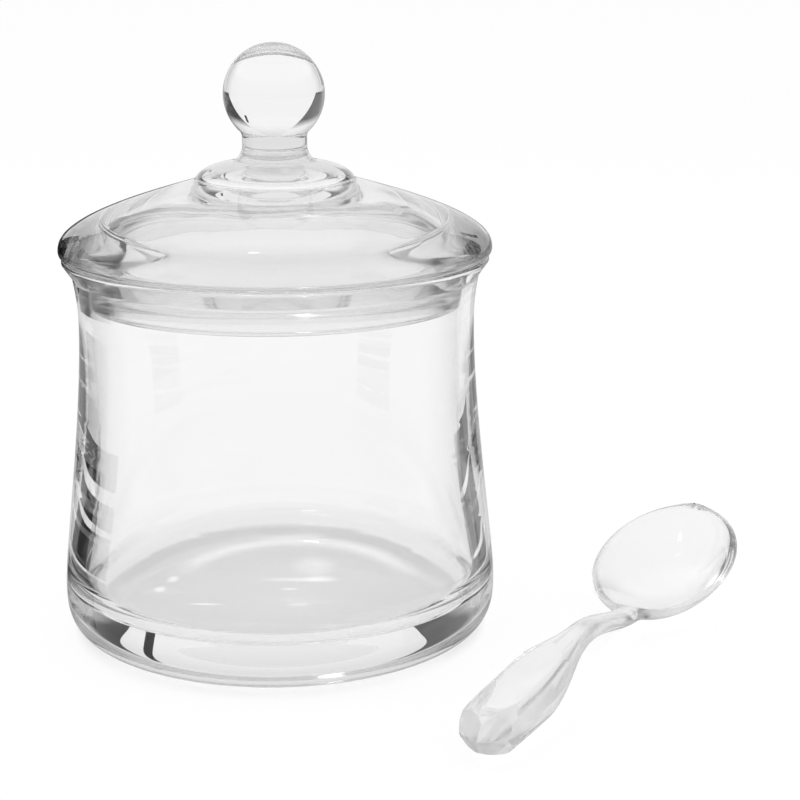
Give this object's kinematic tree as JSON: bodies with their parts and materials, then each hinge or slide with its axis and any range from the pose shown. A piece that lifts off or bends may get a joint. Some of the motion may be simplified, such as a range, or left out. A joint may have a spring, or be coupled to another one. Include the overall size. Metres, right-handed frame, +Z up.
{
  "type": "jam pot",
  "caption": "Clear glass jam pot with a heavy floor and flared lip, a hollow domed lid with a ball knob that lifts off, and a clear spoon with a facet-cut handle beside it.",
  "frame": {"origin": "centre of the pot's flat foot, on the plane of the table", "axes": "+Z up along the pot's axis, -Y towards the viewer, +X to the side where the spoon lies"},
  "size_m": [0.1439, 0.1215, 0.1217],
  "materials": {
    "pot_glass": "clear, fire-polished",
    "lid_glass": "clear, fire-polished",
    "spoon_acrylic": "clear, polished, facets cut on the handle"
  },
  "bodies": {
    "pot": {"pot": "pot_glass"},
    "lid": {"lid": "lid_glass", "lid_knob": "lid_glass"},
    "spoon": {"spoon": "spoon_acrylic"}
  },
  "joints": [
    {"name": "lid_lift", "type": "slide", "parent": "pot", "child": "lid", "axis": [0, 0, 1], "range_m": [0, 0.06]},
    {"name": "spoon_lift", "type": "slide", "parent": "pot", "child": "spoon", "axis": [0, 0, 1], "range_m": [0, 0.1]}
  ]
}
